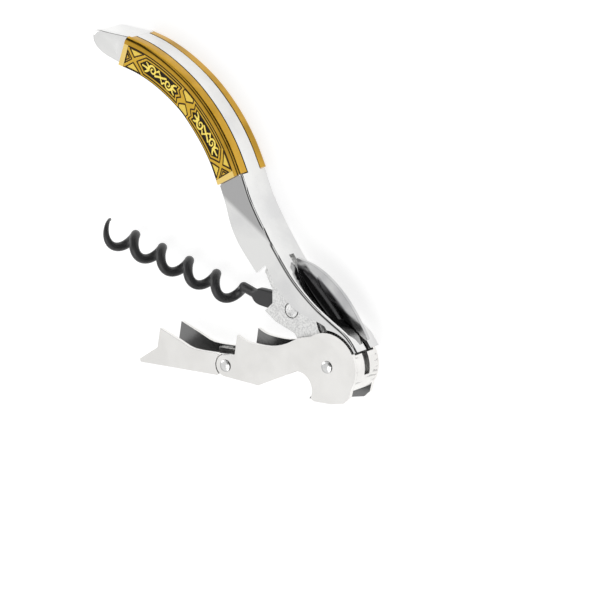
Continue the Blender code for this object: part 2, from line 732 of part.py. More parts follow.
# ---- rivets, spacers and spring ----
def through_rivet(name, centre):
    """Shank with a low dome on each side, outside the lever arms."""
    base = LEVER_HALF + SEAT
    upper = dome(RIVET_HEAD, RIVET_DOME, base)
    profile = upper + [(RIVET_SHANK, base), (RIVET_SHANK, -base)] + [(r, -z) for r, z in reversed(upper)]
    return turned(name, profile, centre)


def knuckle_rivet(name, sign, knuckle):
    """Short rivet through one lever arm and the tab inside it."""
    outer = LEVER_HALF + SEAT
    inner = LEVER_INNER - GAP - TAB_SHEET
    shank = [(RIVET_SHANK, outer), (RIVET_SHANK, inner), (0, inner)]
    profile = dome(RIVET_HEAD, RIVET_DOME, outer) + shank
    if sign < 0:
        profile = [(r, -z) for r, z in reversed(profile)]
    return hang(turned(name, profile, (0, 0)), knuckle)


def worm_rivet():
    """Flush rivet with a shallow dish in each end."""
    rim = WORM_RIVET_HEAD - WORM_RIVET_RIM
    face = [(rim * i / 4, FRAME_HALF - DIMPLE_DEPTH * (1 - (i / 4) ** 2)) for i in range(5)]
    head = [(WORM_RIVET_HEAD, FRAME_HALF), (WORM_RIVET_HEAD, FRAME_INNER)]
    upper = face + head + [(WORM_RIVET_SHANK, FRAME_INNER)]
    return turned("worm_rivet", upper + [(r, -z) for r, z in reversed(upper)], WORM_PIVOT)


def spacers():
    made = []
    for name, sign in SIDES:
        low, high = sorted((sign * (BLADE_THICK / 2 + GAP), sign * (FRAME_INNER - GAP)))
        made.append(ring(f"pivot_spacer_{name}", (0, 0), HOLE, HOLE + SPACER_WALL, low, high))
        low, high = sorted((sign * (WORM_EYE_THICK / 2 + GAP), sign * (FRAME_INNER - GAP)))
        bore = WORM_RIVET_SHANK + GAP
        made.append(ring(f"worm_spacer_{name}", WORM_PIVOT, bore, bore + SPACER_WALL, low, high))
    return made


def back_spring():
    """Bent leaf between the cheeks, from the blade's eye to beside the worm."""
    start, end = SPRING_SPAN
    line = smooth([
        (start, SPRING_LEVEL - SPRING_SAG[0]), (start + SPRING_ENDS[0], SPRING_LEVEL),
        (end - SPRING_ENDS[1], SPRING_LEVEL), (end, SPRING_LEVEL - SPRING_SAG[1]),
    ])
    strip = line + beside(line, -SPRING_THICK)[::-1]
    return plate("back_spring", [strip], -SPRING_WIDTH / 2, SPRING_WIDTH / 2)


def spring_pin():
    return peg("spring_pin", SPRING_PIN, SPRING_PIN_RADIUS, -FRAME_HALF, FRAME_HALF)


# ---- assembly ----
def hinge(name, point, degrees, parent=None):
    """An empty on a joint's axis."""
    made = bpy.data.objects.new(name, None)
    parts.objects.link(made)
    made.parent = parent
    made.location = (point[0] * MM, point[1] * MM, 0)
    made.rotation_euler = (0, 0, math.radians(degrees))
    return made


def hang(obj, parent):
    obj.parent = parent
    return obj


def hang_with_tools(obj, parent):
    """Hangs a piece and the hidden tools that shape it."""
    for modifier in obj.modifiers:
        hang(modifier.object, parent)
    return hang(obj, parent)


def centre_on_origin(base):
    """Moves the assembly so that the middle of its box's underside is the origin."""
    bpy.context.view_layer.update()
    graph = bpy.context.evaluated_depsgraph_get()
    points = [
        obj.matrix_world @ vertex.co
        for obj in parts.objects if obj.type == "MESH"
        for vertex in obj.evaluated_get(graph).data.vertices
    ]
    low = [min(p[i] for p in points) for i in range(3)]
    high = [max(p[i] for p in points) for i in range(3)]
    base.location -= Vector(((low[0] + high[0]) / 2, (low[1] + high[1]) / 2, low[2]))


clear_scene()
parts = new_collection("lever_corkscrew")
cutters = new_collection("cutters", hidden=True)

base = hinge("assembly", (0, 0), 0)
lever_pivot = hinge("lever_pivot", (0, 0), LEVER_ANGLE, base)
stage_hinge = hinge("stage_hinge", (LEVER_LENGTH, 0), 0, lever_pivot)

finish(body_shell(), STEEL, 0.12)
finish(inner_frame(), BLASTED, 0.45)
for side, facing in SIDES:
    finish(bezel(f"grip_bezel_{side}", facing), GOLD, 0.2)
    finish(ornament_plate(f"ornament_plate_{side}", facing), BRONZE, 0.3)
    for grip_pin in grip_pins(f"grip_pin_{side}", facing):
        finish(grip_pin, STEEL, 0.3)
    finish(knuckle_rivet(f"stage_hinge_rivet_{side}", facing, stage_hinge), STEEL, 0.2)
finish(worm(), BLACK, 0.4, 0.0)
finish(worm_rivet(), BLASTED, 0.35)
finish(blade(), STEEL, 0.2)
for piece in spacers():
    finish(piece, STEEL, 0.3)
finish(back_spring(), STEEL, 0.3)
finish(spring_pin(), STEEL, 0.3)
finish(lever_stage_1(lever_pivot), STEEL, 0.15)
finish(lever_stage_2(stage_hinge), STEEL, 0.15)
finish(through_rivet("lever_pivot_rivet", (0, 0)), STEEL, 0.2)

for item in list(parts.objects) + list(cutters.objects):
    if item.parent is None and item is not base:
        item.parent = base
centre_on_origin(base)
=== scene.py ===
import json
import math

import bmesh
import bpy
import numpy as np
from mathutils import Matrix, Vector


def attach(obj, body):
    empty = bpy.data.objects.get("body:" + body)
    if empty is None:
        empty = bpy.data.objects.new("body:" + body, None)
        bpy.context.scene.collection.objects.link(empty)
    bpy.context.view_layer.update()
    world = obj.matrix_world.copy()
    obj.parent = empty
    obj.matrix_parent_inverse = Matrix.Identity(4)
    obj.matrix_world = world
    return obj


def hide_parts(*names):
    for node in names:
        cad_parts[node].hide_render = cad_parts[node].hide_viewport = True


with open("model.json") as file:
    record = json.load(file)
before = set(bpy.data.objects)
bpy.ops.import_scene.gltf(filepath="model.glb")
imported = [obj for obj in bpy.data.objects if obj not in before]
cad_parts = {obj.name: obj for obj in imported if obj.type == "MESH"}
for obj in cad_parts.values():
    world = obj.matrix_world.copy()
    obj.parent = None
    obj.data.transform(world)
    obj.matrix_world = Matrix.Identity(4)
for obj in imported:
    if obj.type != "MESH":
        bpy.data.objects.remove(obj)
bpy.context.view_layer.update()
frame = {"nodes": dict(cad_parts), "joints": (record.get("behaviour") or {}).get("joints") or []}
print("frame loaded:", len(frame["nodes"]), "pieces")

mm = 0.001
joints = {joint["name"]: joint for joint in frame["joints"]}
pivot = np.array(joints["lever_pivot"]["pos_m"])  # every outline below is drawn in mm from this point


# shapes: small tools for grids of points
def gridFaces(rows, columns, wrapColumns):
    # one quad for each cell of a rows x columns grid, joined round the columns when they wrap
    lastColumn = columns if wrapColumns else columns - 1
    row, column = np.meshgrid(np.arange(rows - 1), np.arange(lastColumn), indexing="ij")
    nextColumn = (column + 1) % columns
    corners = (row * columns + column, row * columns + nextColumn,
               (row + 1) * columns + nextColumn, (row + 1) * columns + column)
    return np.stack(corners, axis=-1).reshape(-1, 4)


def fanFaces(ring, centre):
    # triangles from a closed ring of vertex numbers to one middle vertex
    return np.stack([ring, np.roll(ring, -1), np.full(len(ring), centre)], axis=-1)


def signedVolume(points, faces):
    a, b, c = points[faces[:, 0]], points[faces[:, 1]], points[faces[:, 2]]
    return np.einsum("ij,ij->i", a, np.cross(b, c)).sum()


def buildMesh(name, points, quads, triangles=None):
    # puts whole arrays of points and faces into a mesh whose faces point outwards
    triangles = np.zeros((0, 3), int) if triangles is None else triangles
    halves = np.concatenate([quads[:, [0, 1, 2]], quads[:, [0, 2, 3]], triangles])
    if signedVolume(points, halves) < 0:
        quads, triangles = quads[:, ::-1], triangles[:, ::-1]
    mesh = bpy.data.meshes.new(name)
    mesh.from_pydata(points.tolist(), [], quads.tolist() + triangles.tolist())
    mesh.validate()
    obj = bpy.data.objects.new(name, mesh)
    bpy.context.scene.collection.objects.link(obj)
    return obj


def sweptGrid(name, grid):
    # closes a tube of points (rows along it, columns round it) with a fan at each end
    rows, columns = grid.shape[:2]
    points = grid.reshape(-1, 3)
    ends = np.array([grid[0].mean(axis=0), grid[-1].mean(axis=0)])
    first = np.arange(columns)[::-1]
    last = np.arange(columns) + (rows - 1) * columns
    fans = np.concatenate([fanFaces(first, len(points)), fanFaces(last, len(points) + 1)])
    return buildMesh(name, np.concatenate([points, ends]), gridFaces(rows, columns, True), fans)


def curveThrough(knots, u):
    # Catmull-Rom: each span is the cubic that leaves a knot towards the line between its two neighbours
    knots = np.asarray(knots, float)
    padded = np.concatenate([knots[:1], knots, knots[-1:]])
    span = np.clip(np.floor(u).astype(int), 0, len(knots) - 2)
    t = (u - span)[:, None]
    p, q, r, s = (padded[span + i] for i in range(4))
    return q + ((r - p) * t + (2 * p - 5 * q + 4 * r - s) * t**2 + (3 * q - p - 3 * r + s) * t**3) / 2


def smoothSteps(low, high, x):
    t = np.clip((x - low) / (high - low), 0, 1)
    return t * t * (3 - 2 * t)


def shade(obj, degrees=35):
    obj.data.shade_smooth()
    obj.data.set_sharp_from_angle(angle=math.radians(degrees))


def mount(obj, body, material, replaced=()):
    # gives a finished piece its material, its moving body and the plain part it stands for
    obj.data.materials.clear()
    obj.data.materials.append(material)
    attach(obj, body)
    if replaced:
        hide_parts(*replaced)


# materials
def newGroup(name, inputs, outputs):
    group = bpy.data.node_groups.new(name, "ShaderNodeTree")
    for label, kind, value in inputs:
        socket = group.interface.new_socket(label, in_out="INPUT", socket_type=kind)
        socket.default_value = value
    for label, kind in outputs:
        group.interface.new_socket(label, in_out="OUTPUT", socket_type=kind)
    return group


def addNode(tree, kind, **values):
    node = tree.nodes.new(kind)
    for key, value in values.items():
        setattr(node, key, value)
    return node


def makeGrainGroup():
    # cloudy tone and a fine grain of bumps, both on the piece's own coordinates
    group = newGroup(
        "metalGrain",
        [("Cloud Scale", "NodeSocketFloat", 120.0), ("Grain Scale", "NodeSocketFloat", 2500.0),
         ("Stretch", "NodeSocketVector", (1.0, 1.0, 1.0))],
        [("Cloud", "NodeSocketFloat"), ("Grain", "NodeSocketFloat"), ("Scratches", "NodeSocketFloat")],
    )
    start = addNode(group, "NodeGroupInput")
    end = addNode(group, "NodeGroupOutput")
    coords = addNode(group, "ShaderNodeTexCoord")
    stretch = addNode(group, "ShaderNodeVectorMath", operation="MULTIPLY")
    cloud = addNode(group, "ShaderNodeTexNoise")
    grain = addNode(group, "ShaderNodeTexNoise")
    scratch = addNode(group, "ShaderNodeTexNoise")
    cloud.inputs["Detail"].default_value = 4.0
    grain.inputs["Detail"].default_value = 2.0
    scratch.inputs["Detail"].default_value = 3.0
    link = group.links.new
    link(coords.outputs["Object"], cloud.inputs["Vector"])
    link(coords.outputs["Object"], grain.inputs["Vector"])
    link(coords.outputs["Object"], stretch.inputs[0])
    link(start.outputs["Stretch"], stretch.inputs[1])
    link(stretch.outputs["Vector"], scratch.inputs["Vector"])
    link(start.outputs["Cloud Scale"], cloud.inputs["Scale"])
    link(start.outputs["Grain Scale"], grain.inputs["Scale"])
    link(start.outputs["Grain Scale"], scratch.inputs["Scale"])
    link(cloud.outputs["Fac"], end.inputs["Cloud"])
    link(grain.outputs["Fac"], end.inputs["Grain"])
    link(scratch.outputs["Fac"], end.inputs["Scratches"])
    return group


grainGroup = makeGrainGroup()

metalFinishes = {
    # tone and tone of the clouds, roughness low and high, grain bump, cloud and grain scale, scratch stretch
    "polishedShell": dict(tone=(0.83, 0.83, 0.82), shadow=(0.74, 0.74, 0.74), rough=(0.05, 0.13), bump=0.012,
                          cloud=90.0, grain=1800.0, stretch=(0.15, 1.0, 1.0)),
    "polishedTip": dict(tone=(0.83, 0.83, 0.82), shadow=(0.76, 0.76, 0.76), rough=(0.06, 0.14), bump=0.012,
                        cloud=90.0, grain=1800.0, stretch=(0.15, 1.0, 1.0)),
    "satinLever": dict(tone=(0.87, 0.86, 0.84), shadow=(0.81, 0.80, 0.78), rough=(0.2, 0.27), bump=0.008,
                       cloud=120.0, grain=2200.0, stretch=(0.25, 1.0, 1.0)),
    "blastedFrame": dict(tone=(0.78, 0.78, 0.77), shadow=(0.56, 0.56, 0.56), rough=(0.38, 0.55), bump=0.2,
                         cloud=2400.0, grain=4000.0, stretch=(1.0, 1.0, 1.0)),
    "knifeSteel": dict(tone=(0.62, 0.62, 0.62), shadow=(0.50, 0.50, 0.51), rough=(0.10, 0.2), bump=0.02,
                       cloud=140.0, grain=2600.0, stretch=(0.1, 1.0, 1.0)),
    "rivetSteel": dict(tone=(0.78, 0.78, 0.77), shadow=(0.66, 0.66, 0.66), rough=(0.12, 0.22), bump=0.02,
                       cloud=400.0, grain=3000.0, stretch=(1.0, 1.0, 1.0)),
    "plainPins": dict(tone=(0.70, 0.70, 0.69), shadow=(0.58, 0.58, 0.58), rough=(0.25, 0.4), bump=0.03,
                      cloud=300.0, grain=2500.0, stretch=(1.0, 1.0, 1.0)),
    "orangeGold": dict(tone=(0.64, 0.37, 0.05), shadow=(0.46, 0.26, 0.025), rough=(0.12, 0.22), bump=0.02,
                       cloud=110.0, grain=2000.0, stretch=(0.2, 1.0, 1.0)),
}


def makeMetal(name, tone, shadow, rough, bump, cloud, grain, stretch):
    material = bpy.data.materials.new(name)
    material.use_nodes = True
    tree = material.node_tree
    shader = tree.nodes["Principled BSDF"]
    shader.inputs["Metallic"].default_value = 1.0
    texture = addNode(tree, "ShaderNodeGroup", node_tree=grainGroup)
    texture.inputs["Cloud Scale"].default_value = cloud
    texture.inputs["Grain Scale"].default_value = grain
    texture.inputs["Stretch"].default_value = stretch
    colour = addNode(tree, "ShaderNodeMix", data_type="RGBA")
    colour.inputs["A"].default_value = (*shadow, 1)
    colour.inputs["B"].default_value = (*tone, 1)
    contrast = addNode(tree, "ShaderNodeMapRange")
    contrast.inputs["From Min"].default_value = 0.35
    contrast.inputs["From Max"].default_value = 0.6
    roughness = addNode(tree, "ShaderNodeMapRange")
    roughness.inputs["From Min"].default_value = 0.3
    roughness.inputs["From Max"].default_value = 0.7
    roughness.inputs["To Min"].default_value = rough[0]
    roughness.inputs["To Max"].default_value = rough[1]
    relief = addNode(tree, "ShaderNodeBump")
    relief.inputs["Strength"].default_value = bump
    relief.inputs["Distance"].default_value = 0.0002
    link = tree.links.new
    link(texture.outputs["Cloud"], contrast.inputs["Value"])
    link(contrast.outputs["Result"], colour.inputs["Factor"])
    link(colour.outputs["Result"], shader.inputs["Base Color"])
    link(texture.outputs["Scratches"], roughness.inputs["Value"])
    link(roughness.outputs["Result"], shader.inputs["Roughness"])
    link(texture.outputs["Grain"], relief.inputs["Height"])
    link(relief.outputs["Normal"], shader.inputs["Normal"])
    return material


metals = {name: makeMetal(name, **finish) for name, finish in metalFinishes.items()}


def paleBands(material, tone):
    # the band attribute is 1 on the raised bands across the grip's ends, which are a paler gold
    tree = material.node_tree
    shader = tree.nodes["Principled BSDF"]
    band = addNode(tree, "ShaderNodeAttribute", attribute_name="band")
    colour = addNode(tree, "ShaderNodeMix", data_type="RGBA")
    colour.inputs["B"].default_value = (*tone, 1)
    before = shader.inputs["Base Color"].links[0].from_socket
    tree.links.new(band.outputs["Fac"], colour.inputs["Factor"])
    tree.links.new(before, colour.inputs["A"])
    tree.links.new(colour.outputs["Result"], shader.inputs["Base Color"])


paleBands(metals["orangeGold"], (0.90, 0.66, 0.22))


def paintHollowShade(material, centre, radii, neck, tone):
    # painted shade and dark reflection on the knife's face: darker further in from its back, which is close
    # to an arc of a circle
    tree = material.node_tree
    shader = tree.nodes["Principled BSDF"]
    coords = addNode(tree, "ShaderNodeTexCoord")
    flat = addNode(tree, "ShaderNodeVectorMath", operation="MULTIPLY")
    flat.inputs[1].default_value = (1, 1, 0)
    reach = addNode(tree, "ShaderNodeVectorMath", operation="DISTANCE")
    reach.inputs[1].default_value = (centre[0], centre[1], 0)
    mask = addNode(tree, "ShaderNodeMapRange", interpolation_type="SMOOTHSTEP")
    mask.inputs["From Min"].default_value = radii[0]
    mask.inputs["From Max"].default_value = radii[1]
    colour = addNode(tree, "ShaderNodeMix", data_type="RGBA")
    colour.inputs["A"].default_value = (*tone, 1)
    link = tree.links.new
    before = shader.inputs["Base Color"].links[0].from_socket
    link(coords.outputs["Object"], flat.inputs[0])
    link(flat.outputs["Vector"], reach.inputs[0])
    link(reach.outputs["Value"], mask.inputs["Value"])
    place = addNode(tree, "ShaderNodeSeparateXYZ")
    ahead = addNode(tree, "ShaderNodeMapRange")
    ahead.inputs["From Min"].default_value = neck[0]
    ahead.inputs["From Max"].default_value = neck[1]
    ahead.inputs["To Min"].default_value = 1.0
    ahead.inputs["To Max"].default_value = 0.0
    either = addNode(tree, "ShaderNodeMath", operation="MAXIMUM")
    link(coords.outputs["Object"], place.inputs["Vector"])
    link(place.outputs["X"], ahead.inputs["Value"])
    link(mask.outputs["Result"], either.inputs[0])
    link(ahead.outputs["Result"], either.inputs[1])
    link(either.outputs["Value"], colour.inputs["Factor"])
    link(before, colour.inputs["B"])
    link(colour.outputs["Result"], shader.inputs["Base Color"])


def paintInsideShade(material, middle, fade, tone):
    # painted shade and dark reflection on faces turned towards the middle plane: side = height above the
    # plane * normal's z
    tree = material.node_tree
    shader = tree.nodes["Principled BSDF"]
    coords = addNode(tree, "ShaderNodeTexCoord")
    place = addNode(tree, "ShaderNodeSeparateXYZ")
    facing = addNode(tree, "ShaderNodeSeparateXYZ")
    height = addNode(tree, "ShaderNodeMath", operation="SUBTRACT")
    height.inputs[1].default_value = middle
    side = addNode(tree, "ShaderNodeMath", operation="MULTIPLY")
    mask = addNode(tree, "ShaderNodeMapRange")
    mask.inputs["From Min"].default_value = -fade[1]
    mask.inputs["From Max"].default_value = -fade[0]
    mask.inputs["To Min"].default_value = 1.0
    mask.inputs["To Max"].default_value = 0.0
    colour = addNode(tree, "ShaderNodeMix", data_type="RGBA")
    colour.inputs["B"].default_value = (*tone, 1)
    before = shader.inputs["Base Color"].links[0].from_socket
    link = tree.links.new
    link(coords.outputs["Object"], place.inputs["Vector"])
    link(coords.outputs["Normal"], facing.inputs["Vector"])
    link(place.outputs["Z"], height.inputs[0])
    link(height.outputs["Value"], side.inputs[0])
    link(facing.outputs["Z"], side.inputs[1])
    link(side.outputs["Value"], mask.inputs["Value"])
    link(mask.outputs["Result"], colour.inputs["Factor"])
    link(before, colour.inputs["A"])
    link(colour.outputs["Result"], shader.inputs["Base Color"])


# painted shade on the levers' inner faces: the heights over which it fades out, and its dark tone
inside = dict(fade=(1.8, 3.6), tone=(0.22, 0.22, 0.22))  # mm from the middle plane
insideShadeFade = [height * mm for height in inside["fade"]]
paintInsideShade(metals["satinLever"], float(pivot[2]), insideShadeFade, inside["tone"])


def shadeWall(material, middle, direction, spread, flatness, tone):
    # a broad darker reflection on the flat side walls, between a slanting line and the back of the neck
    tree = material.node_tree
    shader = tree.nodes["Principled BSDF"]
    coords = addNode(tree, "ShaderNodeTexCoord")
    offset = addNode(tree, "ShaderNodeVectorMath", operation="SUBTRACT")
    offset.inputs[1].default_value = middle
    across = addNode(tree, "ShaderNodeVectorMath", operation="DOT_PRODUCT")
    across.inputs[1].default_value = direction
    mask = addNode(tree, "ShaderNodeMapRange", interpolation_type="SMOOTHSTEP")
    mask.inputs["From Min"].default_value = 0.0
    mask.inputs["From Max"].default_value = spread
    facing = addNode(tree, "ShaderNodeSeparateXYZ")
    level = addNode(tree, "ShaderNodeMath", operation="ABSOLUTE")
    flat = addNode(tree, "ShaderNodeMapRange")
    flat.inputs["From Min"].default_value = flatness[0]
    flat.inputs["From Max"].default_value = flatness[1]
    both = addNode(tree, "ShaderNodeMath", operation="MULTIPLY")
    colour = addNode(tree, "ShaderNodeMix", data_type="RGBA")
    colour.inputs["B"].default_value = (*tone, 1)
    link = tree.links.new
    before = shader.inputs["Base Color"].links[0].from_socket
    link(coords.outputs["Object"], offset.inputs[0])
    link(offset.outputs["Vector"], across.inputs[0])
    link(across.outputs["Value"], mask.inputs["Value"])
    link(coords.outputs["Normal"], facing.inputs["Vector"])
    link(facing.outputs["Z"], level.inputs[0])
    link(level.outputs["Value"], flat.inputs["Value"])
    link(mask.outputs["Result"], both.inputs[0])
    link(flat.outputs["Result"], both.inputs[1])
    link(both.outputs["Value"], colour.inputs["Factor"])
    link(before, colour.inputs["A"])
    link(colour.outputs["Result"], shader.inputs["Base Color"])


wall = dict(start=(55.0, -3.2), end=(33.0, -8.0), spread=1.6, flatness=(0.9, 0.98), tone=(0.44, 0.44, 0.44))
wallStart = np.array([*wall["start"], 0]) * mm + pivot
wallRun = np.array(wall["end"]) - np.array(wall["start"])
wallAcross = np.array([-wallRun[1], wallRun[0], 0]) / np.linalg.norm(wallRun)
shadeWall(metals["polishedShell"], wallStart, wallAcross, wall["spread"] * mm, wall["flatness"], wall["tone"])

# painted shade and dark reflection on the knife's face: the arc's centre and radii and the neck it stays off,
# in mm, and its dark tone
hollowShade = dict(centre=(11.35, 22.6), radii=(33.9, 34.9), neck=(1.5, 3.0), tone=(0.07, 0.07, 0.072))
hollowShadeCentre = np.array([*hollowShade["centre"], 0]) * mm + pivot
paintHollowShade(metals["knifeSteel"], hollowShadeCentre, [radius * mm for radius in hollowShade["radii"]],
             [place * mm + pivot[0] for place in hollowShade["neck"]], hollowShade["tone"])


def makeCoating():
    # matte black low-friction coating, slightly worn to a softer grey in patches
    material = bpy.data.materials.new("blackCoating")
    material.use_nodes = True
    tree = material.node_tree
    shader = tree.nodes["Principled BSDF"]
    shader.inputs["Specular IOR Level"].default_value = 0.6
    texture = addNode(tree, "ShaderNodeGroup", node_tree=grainGroup)
    texture.inputs["Cloud Scale"].default_value = 260.0
    texture.inputs["Grain Scale"].default_value = 4200.0
    colour = addNode(tree, "ShaderNodeMix", data_type="RGBA")
    colour.inputs["A"].default_value = (0.012, 0.012, 0.013, 1)
    colour.inputs["B"].default_value = (0.028, 0.028, 0.03, 1)
    roughness = addNode(tree, "ShaderNodeMapRange")
    roughness.inputs["To Min"].default_value = 0.32
    roughness.inputs["To Max"].default_value = 0.5
    relief = addNode(tree, "ShaderNodeBump")
    relief.inputs["Strength"].default_value = 0.12
    relief.inputs["Distance"].default_value = 0.0002
    link = tree.links.new
    link(texture.outputs["Cloud"], colour.inputs["Factor"])
    link(colour.outputs["Result"], shader.inputs["Base Color"])
    link(texture.outputs["Cloud"], roughness.inputs["Value"])
    link(roughness.outputs["Result"], shader.inputs["Roughness"])
    link(texture.outputs["Grain"], relief.inputs["Height"])
    link(relief.outputs["Normal"], shader.inputs["Normal"])
    return material


blackCoating = makeCoating()


def makeEnamelledGold():
    # the tone attribute runs from dark enamel in the ground and lines (0) to bright gold on the fields (1)
    material = bpy.data.materials.new("enamelledGold")
    material.use_nodes = True
    tree = material.node_tree
    shader = tree.nodes["Principled BSDF"]
    shader.inputs["Specular IOR Level"].default_value = 0.2
    tone = addNode(tree, "ShaderNodeAttribute", attribute_name="tone")
    ramp = addNode(tree, "ShaderNodeValToRGB")
    stops = ramp.color_ramp.elements
    stops[0].position, stops[0].color = 0.0, (0.014, 0.009, 0.004, 1)
    stops[1].position, stops[1].color = 1.0, (0.97, 0.78, 0.17, 1)
    lineBrown, strapGold, plainGold = (0.07, 0.034, 0.008, 1), (0.52, 0.31, 0.045, 1), (0.68, 0.43, 0.05, 1)
    for place, colour in ((0.35, lineBrown), (0.6, strapGold), (0.8, plainGold)):
        stops.new(place).color = colour
    metallic = addNode(tree, "ShaderNodeMapRange")
    metallic.inputs["From Min"].default_value = 0.3
    metallic.inputs["From Max"].default_value = 0.6
    metallic.inputs["To Max"].default_value = 0.85
    texture = addNode(tree, "ShaderNodeGroup", node_tree=grainGroup)
    texture.inputs["Cloud Scale"].default_value = 500.0
    texture.inputs["Grain Scale"].default_value = 3500.0
    roughness = addNode(tree, "ShaderNodeMapRange")
    roughness.inputs["To Min"].default_value = 0.28
    roughness.inputs["To Max"].default_value = 0.5
    relief = addNode(tree, "ShaderNodeBump")
    relief.inputs["Strength"].default_value = 0.15
    relief.inputs["Distance"].default_value = 0.0002
    link = tree.links.new
    link(tone.outputs["Fac"], ramp.inputs["Fac"])
    link(ramp.outputs["Color"], shader.inputs["Base Color"])
    link(tone.outputs["Fac"], metallic.inputs["Value"])
    link(metallic.outputs["Result"], shader.inputs["Metallic"])
    link(texture.outputs["Cloud"], roughness.inputs["Value"])
    link(roughness.outputs["Result"], shader.inputs["Roughness"])
    link(texture.outputs["Grain"], relief.inputs["Height"])
    link(relief.outputs["Normal"], shader.inputs["Normal"])
    return material


enamelledGold = makeEnamelledGold()
print("materials made")

# grip: bezels and relief plates
grip = dict(
    start=53.6, length=46.0, bow=17.5, depth=8.2,
    curve=[(0.0, 0.777, 0.27), (0.17, 0.92, 0.05), (0.36, 1.0, -0.09), (0.57, 0.994, -0.37),
           (0.77, 0.889, -0.55), (0.94, 0.723, -0.65), (1.07, 0.526, -0.53)],
    halfThickness=6.4, spineHalf=2.95, floorLevel=5.8, underside=5.3, flange=1.2, rim=1.95, endBand=1.5,
    endGap=0.15, round=1.45, chamfer=0.12, fineChamfer=0.05, plateGap=0.12,
)


def gripKnots():
    # knots of the back line, and of the front line a fixed depth across from it
    share, bow, lean = np.array(grip["curve"]).T
    back = np.stack([grip["start"] + grip["length"] * share, -grip["bow"] * bow], axis=-1)
    across = np.stack([lean, np.ones_like(lean)], axis=-1)
    across /= np.linalg.norm(across, axis=1)[:, None]
    return back, back + across * grip["depth"]


backKnots, frontKnots = gripKnots()
denseU = np.linspace(0, len(backKnots) - 1, 2001)
denseMiddle = (curveThrough(backKnots, denseU) + curveThrough(frontKnots, denseU)) / 2
denseRun = np.concatenate([[0], np.cumsum(np.linalg.norm(np.diff(denseMiddle, axis=0), axis=1))])
gripRun = denseRun[-1]  # length along the middle of the grip


def gripPoint(run, depth, level):
    # run is the distance along the grip's middle, depth the distance in from its back, level the height
    # from the middle plane; all three are arrays of one shape
    u = np.interp(run.ravel(), denseRun, denseU)
    back, front = curveThrough(backKnots, u), curveThrough(frontKnots, u)
    across = (front - back) / np.linalg.norm(front - back, axis=1)[:, None]
    flat = back + across * depth.reshape(-1, 1)
    points = np.concatenate([flat, level.reshape(-1, 1)], axis=1) * mm + pivot
    return points.reshape(*run.shape, 3)


def makeBezel(side, sign):
    # an angle-shaped profile carried along the grip: flange on the back, rounded edge, raised rim, and a
    # floor that rises to the rim's level over the two end bands
    top, floor = grip["halfThickness"], grip["floorLevel"]
    turn = np.linspace(0, math.pi / 2, 14)
    bend = grip["round"]
    edge = [(bend - bend * math.cos(a), top - bend + bend * math.sin(a)) for a in turn]
    chamfer, fine = grip["chamfer"], grip["fineChamfer"]
    before = [(grip["flange"], grip["underside"]), (grip["flange"], grip["spineHalf"]),
              (chamfer, grip["spineHalf"]), (0.0, grip["spineHalf"] + chamfer)]
    rimTop = [(grip["rim"] - fine, top), (grip["rim"], top - fine)]
    frontEdge = grip["depth"] - 0.02
    inner = [(grip["rim"], floor), (grip["rim"] + 0.4, floor),
             (frontEdge - 0.1, floor), (frontEdge, floor - 0.1)]
    under = [(frontEdge, grip["underside"]), (grip["flange"] + 0.5, grip["underside"])]
    profile = np.array(before + edge + rimTop + inner + under)
    raised = profile.copy()
    firstInner = len(before) + len(edge) + len(rimTop)
    lifted = slice(firstInner, firstInner + len(inner))
    raised[lifted, 1] += top - floor
    gap, band = grip["endGap"], grip["endBand"]
    run = np.concatenate([
        [gap, gap + chamfer, gap + band - fine, gap + band],
        np.linspace(gap + band + 0.01, gripRun - gap - band - 0.01, 150),
        [gripRun - gap - band, gripRun - gap - band + fine, gripRun - gap - chamfer, gripRun - gap],
    ])
    lift = ((run < gap + band + 0.005) | (run > gripRun - gap - band - 0.005)).astype(float)[:, None]
    depth = profile[None, :, 0] * (1 - lift) + raised[None, :, 0] * lift
    level = profile[None, :, 1] * (1 - lift) + raised[None, :, 1] * lift
    grid = gripPoint(np.broadcast_to(run[:, None], depth.shape).copy(), depth, level * sign)
    bezel = sweptGrid(f"gripBezel{side}", grid)
    first = len(before) + len(edge) + 1
    onTop = (np.arange(len(profile)) >= first) & (np.arange(len(profile)) < first + 1 + len(inner))
    band = np.append((lift * onTop[None]).ravel(), [0, 0]).astype(np.float32)
    bezel.data.attributes.new("band", "FLOAT", "POINT").data.foreach_set("value", band)
    shade(bezel, 40)
    mount(bezel, "body", metals["orangeGold"], [f"grip_bezel_{side.lower()}"])


def lineDistance(x, y, points):
    # distance from each place to the nearest point of an open line
    best = np.full(x.shape, 1e9)
    for (ax, ay), (bx, by) in zip(points, points[1:]):
        along = (x - ax) * (bx - ax) + (y - ay) * (by - ay)
        t = np.clip(along / ((bx - ax) ** 2 + (by - ay) ** 2 + 1e-12), 0, 1)
        best = np.minimum(best, np.hypot(x - ax - t * (bx - ax), y - ay - t * (by - ay)))
    return best


def insidePolygon(x, y, points):
    # even-odd rule
    inside = np.zeros(x.shape, bool)
    for (ax, ay), (bx, by) in zip(points, points[1:] + points[:1]):
        crosses = (ay > y) != (by > y)
        inside ^= crosses & (x < (bx - ax) * (y - ay) / (by - ay + 1e-12) + ax)
    return inside


def spiral(cx, cy, startAngle, turns, outer, inner, steps=26):
    # a coil whose radius shrinks evenly from its outer to its inner end
    a = np.radians(startAngle) + np.linspace(0, turns * 2 * math.pi, steps)
    r = np.linspace(outer, inner, steps)
    return [(cx + p * math.cos(q), cy + p * math.sin(q)) for p, q in zip(r, a)]


